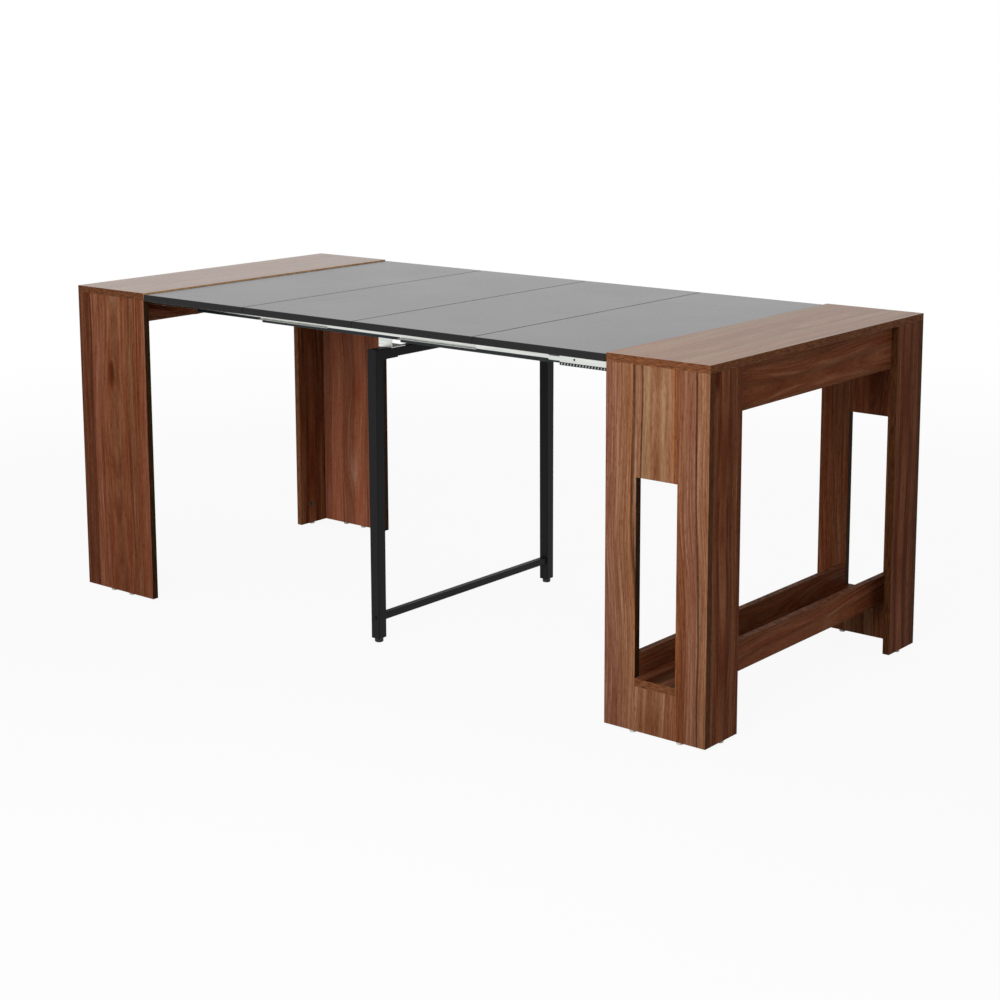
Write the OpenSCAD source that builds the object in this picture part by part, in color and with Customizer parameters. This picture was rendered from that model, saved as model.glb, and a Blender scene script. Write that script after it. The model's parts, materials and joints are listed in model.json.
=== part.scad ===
// Extending dining table: two walnut end frames on a telescopic slide run, with four loose leaves.
// Millimetres. X runs along the table, from the plain end to the storage end, Y across it, Z up.
// The origin is on the floor under the middle of the table, pulled out to its full length.

/* [Table] */
// Width across the leaves and the end tops
table_w = 852; // [760:1:960]
// Height of the end tops above the floor
table_h = 760; // [730:1:790]
// Thickness of every board
board = 16; // [14:0.5:18]
// Gap left between the two end tops when the table is pushed shut
shut_gap = 1; // [0.5:0.5:4]

/* [Ends] */
// Length of one end frame along the table
end_len = 242; // [236:1:280]
// Width of the narrow corner boards, without the side board that they meet
corner_w = 98; // [80:1:120]
// Height of the apron board under each top
apron_h = 94; // [80:1:110]
// Depth of the cleats that carry the slides
cleat_h = 54; // [52:1:60]
// Clearance between a cleat and the boards at its two ends
cleat_gap = 3; // [1:0.5:6]

/* [Leaves] */
// Length of one leaf along the table
leaf_len = 340.5; // [300:0.5:370]
// Hairline gap at each seam of the top
seam_gap = 0.5; // [0.3:0.1:1.5]
// How far the leaves lie below the end tops
leaf_drop = 3; // [1:0.5:5]
// Clearance between the slides and the underside of the leaves
leaf_seat = 0.3; // [0.2:0.1:1]
// Distance of the brass clips from the long edges
clip_inset = 25; // [18:1:60]
// Length of a brass clip across its seam
clip_len = 34; // [24:1:50]
// Width of a brass clip
clip_w = 14; // [10:1:20]
// Thickness of a brass clip
clip_t = 2; // [1.5:0.5:3]

/* [Leaf store] */
// Width of the slot in the side boards of the storage end
slot_w = 96; // [80:1:110]
// Distance from the inner edge of the side board to its slot
slot_in = 74; // [62:1:84]
// Height of the top of the slot above the floor
slot_top = 521; // [470:1:560]
// Height of the underside of the shelf above the floor
shelf_z = 98; // [70:1:120]
// Height of the two rails that keep the stored leaves upright
rail_h = 64; // [40:1:90]

/* [Glides and feet] */
// Diameter of the plastic glides
glide_d = 15; // [12:0.5:15.5]
// Height of the plastic glides
glide_h = 5; // [3:0.5:8]
// Diameter of a levelling foot
foot_d = 20; // [18:1:24]
// Height of a levelling foot, screwed fully in
foot_h = 10; // [8:1:14]
// Diameter of the threaded stud of a levelling foot
stud_d = 8; // [6:0.5:10]
// Length of the stud above the foot
stud_len = 26; // [20:1:40]

/* [Slides] */
// Distance from the long edge of the table to the first slide
slide_inset = 122; // [100:1:180]
// Height of the outer channel of a slide
slide_h = 45; // [44:0.5:48]
// Thickness of one closed slide
slide_t = 12.7; // [12.5:0.1:14]
// Wall of the rolled steel channels
slide_wall = 1.2; // [1:0.1:1.3]
// Room between two channels that the balls roll in
race = 3; // [2.6:0.1:3.2]
// Play of a ball in its race, on each side
ball_play = 0.1; // [0.05:0.05:0.2]
// Balls in one strip of a cage
ball_count = 6; // [3:1:8]
// Distance between the balls of a strip
ball_pitch = 16; // [10:1:18]
// Clearance between the slides and the apron at each end
slide_end_gap = 3; // [2:0.5:10]
// Thickness of the bent stop at the back end of an outer channel
stop_t = 1.5; // [1:0.5:3]
// Width of the gap between the second and the third slide
spacer_t = 3.5; // [3.2:0.1:6]
// Diameter of the rivets and screws of the slides
rivet_d = 4; // [3:0.5:5]

/* [Centre leg] */
// Distance of the leg from the middle of the table, towards the plain end
leg_off = 38; // [0:1:100]
// Distance from the long edge to the centre line of a post
post_inset = 115; // [90:1:200]
// Side of the square tube of the posts
tube = 25; // [22:1:30]
// Wall of the square tube
tube_wall = 1.5; // [1:0.5:2]
// Room between the top of the posts and the slides, which the brackets bridge
bracket_gap = 18.7; // [10:0.1:40]
// Length of the socket that is welded to each post
socket_len = 50; // [30:1:80]
// Height of the middle of the lower bar
lower_bar_z = 58; // [45:1:140]
// Side of the square lower bar
lower_bar = 16; // [12:1:20]
// Width of the bracket that hangs the leg on the slide
bracket_w = 40; // [24:1:60]
// Thickness of the bracket
bracket_t = 2; // [1.5:0.1:2.2]

/* [Fittings] */
// Diameter of a cam lock
cam_d = 15; // [12:0.5:18]
// Depth of a cam lock in its board
cam_h = 12; // [9:0.5:12]
// Clearance around and under a cam lock
cam_play = 0.2; // [0.1:0.1:0.4]
// Height of the lower cam locks above the floor
cam_low_z = 60; // [40:1:90]
// Distance of the upper cam locks from the top of the side boards
cam_top_in = 34; // [26:1:45]

/* [Hidden] */
$fn = 48;
ROUND_BALL = 16;
LEAVES = 4;
STAGES = 6;
HOLE_SHARES = [0.045, 0.14, 0.38, 0.62, 0.86];
WALNUT = [0.44, 0.28, 0.20];
WALNUT_TOP = [0.62, 0.47, 0.38];
CHARCOAL = [0.24, 0.24, 0.25];
ZINC = [0.80, 0.81, 0.80];
BLACK = [0.09, 0.09, 0.10];
BRASS = [0.72, 0.50, 0.22];
PLASTIC = [0.82, 0.82, 0.80];

// The ends, the leaves and the travel between full length and shut
half_w = table_w / 2;
half_len = end_len + (LEAVES * leaf_len + (LEAVES + 1) * seam_gap) / 2;
travel = 2 * (half_len - end_len) - shut_gap;
stage_pitch = travel / STAGES;
board_top = table_h - board;
side_inner_y = half_w - board;
corner_x = half_len - board;
apron_x = corner_x - board;
leaf_top = table_h - leaf_drop;
leaf_z = leaf_top - board;
leaf_edge = half_len - end_len - seam_gap;

// The leaf store
slot_x0 = half_len - end_len + slot_in;
slot_x1 = slot_x0 + slot_w;
shelf_top = shelf_z + board;
glide_edge_in = 8;
glide_side_in = 88;
glide_slot_off = 8;
glide_corner_in = 65;

// The slides: u is the distance from the near face of the slide pack, towards the middle of the table
slide_len = 2 * end_len + shut_gap - 4 * board - 2 * slide_end_gap;
member_len = slide_len - stop_t - 0.5;
slide_x = half_len - 2 * board - slide_end_gap - slide_len;
slide_y = half_w - slide_inset;
slide_top = leaf_z - leaf_seat;
slide_z = slide_top - slide_h / 2;
middle_h = slide_h - 2 * slide_wall - 2 * race;
inner_h = middle_h - 2 * slide_wall - 2 * race;
lip_gap = 0.2;
web_gap = 0.6;
middle_web = slide_wall + web_gap;
middle_lip = slide_t - lip_gap - 0.3;
inner_lip = 4;
ball_u = slide_t / 2 + 1;
ball_d = race - 2 * ball_play;
cage_t = 0.8;
cage_w = 5;
slide_2_u = slide_t;
slide_3_u = 2 * slide_t + spacer_t;
pack_u = slide_3_u + slide_t;
spacer_len = 60;
spacer_h = inner_h - 2 * slide_wall;
spacer_end = 40;
rivet_head = 0.7;

// The centre leg
leg_x = -leg_off;
post_top = slide_top - slide_h - bracket_gap;
post_y = half_w - post_inset;
post_side_y = post_y - tube / 2;
bar = tube - 2 * tube_wall - 1;
bar_z = post_top - tube / 2;
bar_plug = 30;
end_plate = 4;
stud_play = 0.1;
foot_gap = 0.2;
bracket_u = 2 * slide_t + (spacer_t - bracket_t) / 2 - 0.2;
bracket_foot = 45;
tab_u = slide_2_u + middle_lip;
leg_screw_d = 5;
leg_screw_head_d = 9;
leg_screw_head_h = 2.2;
leg_screw_bite = 14;
hex_across = 3;

// A box given by its lowest and highest corners
module block(low, high) {
    translate(low) cube(high - low);
}

// What is made for the near side, again on the far side
module far_side() {
    mirror([0, 1, 0]) children();
}

// Both sides in one group
module both_sides() {
    children();
    far_side() children();
}

// What is made for the storage end, again on the plain end
module plain_end() {
    mirror([1, 0, 0]) children();
}

// A flat board shape, drawn in X and Z and given its thickness inwards from a near face at y
module upright(y) {
    translate([0, y + board, 0]) rotate([90, 0, 0]) linear_extrude(board) children();
}

// A rolled C channel along X, with its web from u_web and its lips ending at u_lip
module channel(x, len, stage_u, u_web, u_lip, h) {
    toward = sign(u_lip - u_web);
    inside = u_web + toward * slide_wall;
    translate([x, -slide_y + stage_u, slide_z]) rotate([90, 0, 90]) linear_extrude(len)
        polygon([
            [u_web, -h / 2], [u_lip, -h / 2], [u_lip, -h / 2 + slide_wall], [inside, -h / 2 + slide_wall],
            [inside, h / 2 - slide_wall], [u_lip, h / 2 - slide_wall], [u_lip, h / 2], [u_web, h / 2]
        ]);
}

// A round hole or shaft across the table, from u0 to u1
module cross_pin(x, u0, u1, d, z = slide_z) {
    translate([x, -slide_y + u0, z]) rotate([-90, 0, 0]) cylinder(h = u1 - u0, d = d);
}

// Places of the holes for the screws or rivets that hold a channel
function fixing_x(stage) = [for (share = HOLE_SHARES) stage_x(stage) + share * member_len];

// Back end of the slide run at a stage of the pull-out
function stage_x(stage) = slide_x - stage * stage_pitch;

// Outer channel of a slide, with a bent stop at its back end
module outer_channel(stage, stage_u) {
    x = stage_x(stage);
    both_sides() difference() {
        union() {
            channel(x, slide_len, stage_u, 0, slide_t - lip_gap, slide_h);
            translate([x + slide_len - stop_t, -slide_y + stage_u, slide_z - inner_h / 4])
                cube([stop_t, slide_t - lip_gap, inner_h / 2]);
        }
        for (hole = fixing_x(stage)) cross_pin(hole, stage_u - 1, stage_u + slide_wall + 0.1, rivet_d);
    }
}

// Middle channel of a slide
module middle_channel(stage, stage_u) {
    both_sides() channel(stage_x(stage), member_len, stage_u, middle_web, middle_lip, middle_h);
}

// Inner channel of a slide, whose web closes the pack on its far face
module inner_channel(stage, stage_u) {
    both_sides() difference() {
        channel(stage_x(stage), member_len, stage_u, slide_t, inner_lip, inner_h);
        for (hole = fixing_x(stage))
            cross_pin(hole, stage_u + slide_t - slide_wall - 0.1, stage_u + slide_t + 1, rivet_d);
    }
}

// Two strips of balls, above and below the channel that runs inside them
module ball_cage(stage, stage_u, channel_h) {
    middle_x = stage_x(stage - 0.5) + member_len / 2;
    strip_len = ball_count * ball_pitch;
    ball_z = channel_h / 2 + race / 2;
    both_sides() for (side = [-1, 1])
        translate([middle_x, -slide_y + stage_u + ball_u, slide_z + side * ball_z]) {
            translate([-strip_len / 2, -cage_w / 2, -cage_t / 2]) cube([strip_len, cage_w, cage_t]);
            for (i = [0 : ball_count - 1])
                translate([(i + 0.5) * ball_pitch - strip_len / 2, 0, 0])
                    sphere(d = ball_d, $fn = ROUND_BALL);
        }
}

// A leaf, numbered from the plain end
module leaf(number) {
    x = -leaf_edge + (number - 1) * (leaf_len + seam_gap);
    color(CHARCOAL) block([x, -half_w, leaf_z], [x + leaf_len, half_w, leaf_top]);
}

// Brass clips under the seam between a leaf and the one before it, screwed to the leaf
module leaf_clips(number) {
    seam_x = -leaf_edge + (number - 1) * (leaf_len + seam_gap);
    color(BRASS) both_sides() difference() {
        block([seam_x - clip_len / 3, -half_w + clip_inset - clip_w / 2, leaf_z - clip_t],
              [seam_x + clip_len * 2 / 3, -half_w + clip_inset + clip_w / 2, leaf_z]);
        translate([seam_x + clip_len / 3, -half_w + clip_inset, leaf_z - clip_t - 1])
            cylinder(h = clip_t + 2, d = rivet_d);
    }
}

// Blind bore for a cam lock in a corner board, and the lock itself when play is 0
module corner_cam(play) {
    translate([corner_x - 1, -half_w + board + corner_w - 38, cam_low_z]) rotate([0, 90, 0])
        translate([0, 0, play > 0 ? 0 : 1]) cylinder(h = cam_h + (play > 0 ? 1 + play : 0), d = cam_d + 2 * play);
}

// Blind bores for the cam locks under a top, in a side board, and the locks when play is 0
module side_cams(play) {
    for (in = [40, end_len - 60])
        translate([half_len - end_len + in, -side_inner_y, board_top - cam_top_in]) rotate([90, 0, 0])
            translate([0, 0, play > 0 ? -1 : 0])
                cylinder(h = cam_h + (play > 0 ? 1 + play : 0), d = cam_d + 2 * play);
}

// Cross recess in the face of a cam lock whose axis is Z
module cam_cross() {
    for (turn = [45, 135]) rotate([0, 0, turn]) translate([-cam_d * 0.32, -0.8, -0.1]) cube([cam_d * 0.64, 1.6, 2]);
}

// All cam locks of the storage end
module cam_locks() {
    color(ZINC) both_sides() {
        difference() {
            corner_cam(0);
            translate([corner_x, -half_w + board + corner_w - 38, cam_low_z]) rotate([0, 90, 0]) cam_cross();
        }
        difference() {
            side_cams(0);
            for (in = [40, end_len - 60])
                translate([half_len - end_len + in, -side_inner_y, board_top - cam_top_in]) rotate([90, 0, 0])
                    cam_cross();
        }
    }
}

// Top board of an end frame
module end_top() {
    color(WALNUT_TOP) block([half_len - end_len, -half_w, board_top], [half_len, half_w, table_h]);
}

// Wide side board of an end frame, without the slot of the leaf store
module end_side() {
    color(WALNUT) difference() {
        block([half_len - end_len, -half_w, glide_h], [half_len, -side_inner_y, board_top]);
        side_cams(cam_play);
    }
}

// Narrow corner board that closes an end frame beside its side board
module end_corner() {
    color(WALNUT) difference() {
        block([corner_x, -side_inner_y, glide_h], [half_len, -side_inner_y + corner_w, board_top]);
        corner_cam(cam_play);
    }
}

// Apron board under the top, behind the corner boards
module end_apron() {
    color(WALNUT)
        block([apron_x, -side_inner_y, board_top - apron_h], [corner_x, side_inner_y, board_top]);
}

// Cleat under the top that one end of the slides is screwed to, with its near face at u
module cleat(u) {
    color(WALNUT) difference() {
        block([half_len - end_len + cleat_gap, -slide_y + u, board_top - cleat_h],
              [apron_x - cleat_gap, -slide_y + u + board, board_top]);
        children();
    }
}

// Round glide under a board
module glide(x, y) {
    translate([x, y, 0]) {
        cylinder(h = glide_h - 1.5, d1 = glide_d - 2, d2 = glide_d);
        translate([0, 0, glide_h - 1.5]) cylinder(h = 1.5, d = glide_d);
    }
}

// Glides of an end frame, given the places of those under its side boards
module glides(side_places) {
    color(PLASTIC) both_sides() {
        for (x = side_places) glide(x, -half_w + glide_edge_in);
        glide(half_len - glide_edge_in, -half_w + glide_corner_in);
    }
}

// Side board of the storage end: its slot is open at the bottom, where the plinth closes it
module storage_side() {
    color(WALNUT) difference() {
        end_side();
        block([slot_x0, -half_w - 1, 0], [slot_x1, -side_inner_y + 1, slot_top]);
    }
}

// Short board that fills the slot under the shelf
module storage_plinth() {
    color(WALNUT) block([slot_x0, -half_w, glide_h], [slot_x1, -side_inner_y, shelf_z]);
}

// Shelf of the leaf store, which shows at both ends in the slots
module storage_shelf() {
    color(WALNUT) block([slot_x0, -half_w, shelf_z], [slot_x1, half_w, shelf_top]);
}

// Rail beside the shelf, between the side boards
module storage_rail(x) {
    color(WALNUT) block([x, -side_inner_y, shelf_z], [x + board, side_inner_y, shelf_z + rail_h]);
}

// Screws through the first channel into the storage cleats
module storage_slide_screws() {
    color(ZINC) both_sides() for (x = screw_x()) cross_pin(x, -board + 3, slide_wall, rivet_d);
}

// Screws through the last channel into the plain end's cleats
module plain_slide_screws() {
    color(ZINC) both_sides() for (x = plain_screw_x())
        cross_pin(x, pack_u - slide_wall, pack_u + board - 3, rivet_d);
}

// Only the holes over a cleat take a screw
function screw_x() = [for (x = fixing_x(0)) if (x > half_len - end_len + cleat_gap + rivet_d) x];
function plain_screw_x() = [for (x = fixing_x(STAGES)) if (x < -half_len + end_len - cleat_gap - rivet_d) x];

// Rivets that join the inner channel of the first slide to the outer channel of the second
module slide_rivets() {
    color(ZINC) both_sides() for (x = fixing_x(2)) {
        cross_pin(x, slide_t - slide_wall, slide_t + slide_wall, rivet_d);
        cross_pin(x, slide_t - slide_wall - rivet_head, slide_t - slide_wall, rivet_d * 1.7);
    }
}

// Spacers that join the inner channel of the second slide to the outer channel of the third
module slide_spacers() {
    x = stage_x(4);
    color(ZINC) both_sides() for (at = [x + spacer_end, x + member_len - spacer_end - spacer_len])
        block([at, -slide_y + 2 * slide_t, slide_z - spacer_h / 2],
              [at + spacer_len, -slide_y + slide_3_u, slide_z + spacer_h / 2]);
}

// Square tube along Z
module square_tube(side, wall, len) {
    translate([0, 0, len / 2]) difference() {
        cube([side, side, len], center = true);
        cube([side - 2 * wall, side - 2 * wall, len + 2], center = true);
    }
}

// Post of the centre leg with the socket for the top bar welded to it
module leg_post() {
    color(BLACK) translate([leg_x, -post_y, 0]) difference() {
        union() {
            translate([0, 0, foot_h]) square_tube(tube, tube_wall, post_top - foot_h);
            translate([0, 0, foot_h + end_plate / 2])
                cube([tube - 1, tube - 1, end_plate], center = true);
            translate([0, 0, post_top - tube_wall / 2])
                cube([tube - 1, tube - 1, tube_wall], center = true);
            translate([0, tube / 2, bar_z]) rotate([-90, 0, 0]) square_tube(tube, tube_wall, socket_len);
        }
        translate([0, 0, foot_h - 1]) cylinder(h = end_plate + 2, d = stud_d + 2 * stud_play);
        translate([0, -tube, lower_bar_z]) rotate([-90, 0, 0]) cylinder(h = 2 * tube, d = leg_screw_d);
    }
}

// Top bar of the centre leg, plugged into the two sockets
module leg_top_bar() {
    length = 2 * (post_y - tube / 2 - socket_len + bar_plug);
    color(BLACK) translate([leg_x, -length / 2, bar_z]) rotate([-90, 0, 0])
        square_tube(bar, tube_wall, length);
}

// Lower bar of the centre leg, between the posts
module leg_lower_bar() {
    color(BLACK) difference() {
        block([leg_x - lower_bar / 2, -post_side_y, lower_bar_z - lower_bar / 2],
              [leg_x + lower_bar / 2, post_side_y, lower_bar_z + lower_bar / 2]);
        both_sides() translate([leg_x, -post_side_y - 1, lower_bar_z]) rotate([-90, 0, 0])
            cylinder(h = leg_screw_bite + 2, d = leg_screw_d);
    }
}

// Brackets that hang the leg frame on the middle channel of the second slide
module leg_brackets() {
    low = post_top;
    tab_z = slide_z - middle_h / 2;
    plate_y = -slide_y + bracket_u;
    color(ZINC) both_sides() {
        block([leg_x - bracket_w / 2, plate_y, low], [leg_x + bracket_w / 2, plate_y + bracket_t, tab_z + slide_wall]);
        block([leg_x - bracket_w / 2, -slide_y + tab_u, tab_z], [leg_x + bracket_w / 2, plate_y, tab_z + slide_wall]);
        block([leg_x - bracket_w / 2, plate_y, low],
              [leg_x + bracket_w / 2, plate_y + bracket_foot, low + bracket_t]);
    }
}

// Socket screws through the posts into the lower bar
module leg_screws() {
    color(BLACK) both_sides() translate([leg_x, -post_y - tube / 2, lower_bar_z]) rotate([-90, 0, 0])
        difference() {
            union() {
                cylinder(h = tube + leg_screw_bite, d = leg_screw_d);
                translate([0, 0, -leg_screw_head_h]) cylinder(h = leg_screw_head_h, d = leg_screw_head_d);
            }
            translate([0, 0, -leg_screw_head_h - 0.1]) cylinder(h = 1.6, d = hex_across * 2 / sqrt(3), $fn = 6);
        }
}

// Levelling foot with its stud
module levelling_foot() {
    color(BLACK) translate([leg_x, -post_y, 0]) {
        cylinder(h = 2, d1 = foot_d - 3, d2 = foot_d);
        translate([0, 0, 2]) cylinder(h = foot_h - 2 - foot_gap, d = foot_d);
        translate([0, 0, foot_h - 1]) cylinder(h = stud_len + 1, d = stud_d);
    }
}

end_top();  // storage_top
storage_side();  // storage_side_near
far_side() storage_side();  // storage_side_far
storage_plinth();  // storage_plinth_near
far_side() storage_plinth();  // storage_plinth_far
end_corner();  // storage_corner_near
far_side() end_corner();  // storage_corner_far
end_apron();  // storage_apron
storage_shelf();
storage_rail(slot_x0 - board);  // storage_rail_inner
storage_rail(slot_x1);  // storage_rail_outer
cleat(-board) storage_slide_screws();  // storage_cleat_near
far_side() cleat(-board) storage_slide_screws();  // storage_cleat_far
glides([slot_x0 - glide_slot_off, slot_x1 + glide_slot_off]);  // storage_glides
cam_locks();  // storage_cam_locks
plain_end() end_top();  // plain_top
plain_end() end_side();  // plain_side_near
plain_end() far_side() end_side();  // plain_side_far
plain_end() end_corner();  // plain_corner_near
plain_end() far_side() end_corner();  // plain_corner_far
plain_end() end_apron();  // plain_apron
plain_end() cleat(pack_u) plain_end() plain_slide_screws();  // plain_cleat_near
plain_end() far_side() cleat(pack_u) plain_end() plain_slide_screws();  // plain_cleat_far
plain_end() glides([half_len - glide_side_in, half_len - end_len + glide_side_in]);  // plain_glides
plain_end() cam_locks();  // plain_cam_locks
leaf(1);  // leaf_1
leaf(2);  // leaf_2
leaf(3);  // leaf_3
leaf(4);  // leaf_4
leaf_clips(2);  // leaf_clips_2
leaf_clips(3);  // leaf_clips_3
leaf_clips(4);  // leaf_clips_4
color(ZINC) outer_channel(0, 0);  // slide_1_outer
color(ZINC) middle_channel(1, 0);  // slide_1_middle
color(ZINC) inner_channel(2, 0);  // slide_1_inner
color(ZINC) outer_channel(2, slide_2_u);  // slide_2_outer
color(ZINC) middle_channel(3, slide_2_u);  // slide_2_middle
color(ZINC) inner_channel(4, slide_2_u);  // slide_2_inner
color(ZINC) outer_channel(4, slide_3_u);  // slide_3_outer
color(ZINC) middle_channel(5, slide_3_u);  // slide_3_middle
color(ZINC) inner_channel(6, slide_3_u);  // slide_3_inner
color(BLACK) ball_cage(1, 0, middle_h);  // ball_cage_1
color(BLACK) ball_cage(2, 0, inner_h);  // ball_cage_2
color(BLACK) ball_cage(3, slide_2_u, middle_h);  // ball_cage_3
color(BLACK) ball_cage(4, slide_2_u, inner_h);  // ball_cage_4
color(BLACK) ball_cage(5, slide_3_u, middle_h);  // ball_cage_5
color(BLACK) ball_cage(6, slide_3_u, inner_h);  // ball_cage_6
storage_slide_screws();
slide_rivets();
slide_spacers();
plain_slide_screws();
leg_post();  // leg_post_near
far_side() leg_post();  // leg_post_far
leg_top_bar();
leg_lower_bar();
leg_brackets();
leg_screws();
levelling_foot();  // foot_near
far_side() levelling_foot();  // foot_far
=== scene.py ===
# %% [markdown]
# An extending dining table, dressed around its CAD frame.
# The frame already holds every piece at its real size and in its real place.
# This script only gives the pieces their finish: printed walnut melamine, charcoal laminate,
# zinc-plated slides, a powder-coated leg and the small fittings.

# %% Load the frame
import json
import math

import bmesh
import bpy
from mathutils import Matrix, Vector

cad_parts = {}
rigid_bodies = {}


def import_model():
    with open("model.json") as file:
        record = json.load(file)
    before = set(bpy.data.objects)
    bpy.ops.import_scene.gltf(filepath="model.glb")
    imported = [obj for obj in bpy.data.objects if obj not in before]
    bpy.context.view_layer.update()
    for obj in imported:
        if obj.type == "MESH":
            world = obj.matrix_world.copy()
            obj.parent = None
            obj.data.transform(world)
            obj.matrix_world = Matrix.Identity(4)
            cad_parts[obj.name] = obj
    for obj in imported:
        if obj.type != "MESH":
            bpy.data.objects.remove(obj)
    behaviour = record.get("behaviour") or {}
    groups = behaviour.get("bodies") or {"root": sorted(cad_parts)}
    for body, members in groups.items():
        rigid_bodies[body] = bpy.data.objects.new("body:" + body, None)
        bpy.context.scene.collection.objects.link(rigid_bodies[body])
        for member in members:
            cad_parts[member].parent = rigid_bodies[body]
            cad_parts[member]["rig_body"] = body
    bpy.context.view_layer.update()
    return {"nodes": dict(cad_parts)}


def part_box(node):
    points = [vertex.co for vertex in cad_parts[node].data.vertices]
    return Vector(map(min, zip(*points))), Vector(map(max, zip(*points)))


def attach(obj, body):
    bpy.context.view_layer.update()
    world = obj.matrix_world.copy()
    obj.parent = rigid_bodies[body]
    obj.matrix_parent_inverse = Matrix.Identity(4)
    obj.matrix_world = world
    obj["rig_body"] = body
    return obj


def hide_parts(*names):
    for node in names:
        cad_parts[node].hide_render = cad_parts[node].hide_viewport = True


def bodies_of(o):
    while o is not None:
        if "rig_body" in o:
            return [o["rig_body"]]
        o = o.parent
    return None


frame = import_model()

# %% [markdown]
# The photograph looks down on the table from about 1.4 m up, through a short telephoto lens.
# Its verticals stay upright, as they do when a view camera's lens is shifted down instead of the
# camera being tipped. A large shift would stay in every other view, so only a part of the tilt is
# replaced by it, and the verticals lean a little.

# %% Camera
SENSOR_MM = 36.0
LENS_MM = 70.64
LENS_SHIFT = -0.15
CAMERA_PLACE = (2.9074, -3.4734, 1.3957)
CAMERA_TURN = (1.405, 0.003, 0.685)
camera_data = bpy.data.cameras.new("camera")
camera_data.sensor_width = SENSOR_MM
camera_data.lens = LENS_MM
camera_data.shift_y = LENS_SHIFT
camera = bpy.data.objects.new("camera", camera_data)
camera.location = CAMERA_PLACE
camera.rotation_euler = CAMERA_TURN
bpy.context.collection.objects.link(camera)
bpy.context.scene.camera = camera
bpy.context.scene.view_settings.view_transform = "Standard"
print("camera at", tuple(camera.location), "lens", camera_data.lens)

# %% [markdown]
# Colours are written as sRGB hex values, the way a paint chart gives them.
# Shaders work with linear light, so one function turns every colour.
# One more function adds a node: its sockets are set or linked in one call, so a material below
# reads like a recipe. A colour ramp's stops are given as places and colours.

# %% Colours and nodes
def linear(hex_colour):
    """Turns an sRGB hex colour into linear light with full alpha."""
    shares = [int(hex_colour[i:i + 2], 16) / 255 for i in (1, 3, 5)]
    return (*[s / 12.92 if s <= 0.04045 else ((s + 0.055) / 1.055) ** 2.4 for s in shares], 1.0)


def add(tree, kind, sockets=None, stops=None, **settings):
    """Adds a node. Sockets are named or numbered, and hold a value, a socket or a whole node."""
    node = tree.nodes.new(kind)
    for name, value in settings.items():
        setattr(node, name, value)
    for key, value in (sockets or {}).items():
        if isinstance(value, bpy.types.Node):
            value = value.outputs[0]
        if isinstance(value, bpy.types.NodeSocket):
            tree.links.new(value, node.inputs[key])
        else:
            node.inputs[key].default_value = value
    for i, (place, colour) in enumerate(stops or []):
        stop = node.color_ramp.elements[i] if i < 2 else node.color_ramp.elements.new(place)
        stop.position = place
        stop.color = linear(colour)
    return node


def new_material(name):
    """An empty material, its node tree and the coordinates that its patterns are laid out in."""
    made = bpy.data.materials.new(name)
    made.use_nodes = True
    made.node_tree.nodes.clear()
    place = add(made.node_tree, "ShaderNodeTexCoord").outputs["Object"]
    return made, made.node_tree, place


print("linear mid grey", round(linear("#808080")[0], 3))

# %% [markdown]
# The boards are chipboard faced with melamine: paper printed with a walnut picture and pressed
# under a clear resin. The print shows strips of veneer side by side, each of its own tone, with a
# thin honey or dark line where some of them meet, so a board's look starts from a list of tones,
# each with the place where its strip starts, in shares of the board's width.
# The lines of walnut are growth rings cut lengthwise, 2 to 5 mm apart. Noise stretched along the
# board would give straight streaks alone. Rings lie round the heart of the tree, so the grain is
# drawn in the distance from a heart that comes near the board and leaves it again: lines run
# straight beside it and close in long arches over it, and they swerve round a knot.
# Mixing in a dark colour would turn the strips grey. A gamma on their colour darkens them in the
# way real grain does, redder as it gets darker.

# %% Walnut melamine
TONES = {
    "dark": "#4f3425", "shade": "#4a2a1a", "heart": "#683b26", "brown": "#784a31", "red": "#7f4a30",
    "warm": "#86523a", "rose": "#a0644a", "blush": "#b87253", "fawn": "#885e44", "pale": "#8f664b",
    "tan": "#917052", "honey": "#935e38", "dun": "#825742",
}
STRIP_BLEND = 0.02
# How far the strips sway from straight, and waves per metre: 400 mm across and 560 mm along them
SWAY = 0.05
SWAY_WAVES = (2.5, 1, 1.8)
# The heart of the tree: its place across the board, its least depth under it, and its waves per
# metre, of 290 mm across the board and 560 mm along it
HEART_SHARE = 0.65
HEART_DEPTH = 0.06
HEART_WAVES = (3.5, 1, 1.8)
# Layers of grain: broad shades of 22 mm, growth rings of 3.4 mm and fine lines of 1.8 mm. Each has
# its lines per metre across and along the grain, then its detail and weight.
GRAIN_LAYERS = [(45, 1.3, 2, 0.20), (290, 3.0, 2, 0.60), (560, 9, 3, 0.85)]
# Pores per metre, and what one adds to the gamma. Real pores are about 0.2 mm wide, too fine to
# show, so they're drawn 0.9 mm wide and 13 mm long.
PORES = (1100, 1, 75)
PORE_DARKER = 0.30
# A knot's size across and along the grain, how far the lines swerve, and what it adds to the gamma
KNOT_SIZE = (0.008, 1, 0.028)
KNOT_SWERVE = 0.016
KNOT_DARKER = 0.50
# The mean gamma of a strip
MEAN_GAMMA = 1.02
# The pattern's stretch through a board, which sets its two faces apart
THROUGH_STRETCH = 100.0
# How far roughness departs from its middle, and the depth of what is pressed into a surface
ROUGH_SPREAD = 0.06
PRESS_DEPTH = 0.0003


def strip_stops(strips):
    """Each strip's tone from one edge of it to the other, blended into its neighbours."""
    stops = []
    for (start, tone), (end, _) in zip(strips, strips[1:] + [(1.0, "")]):
        blend = min(STRIP_BLEND, (end - start) * 0.6) / 2
        stops += [(start + blend, TONES[tone]), (end - blend, TONES[tone])]
    return stops


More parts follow.
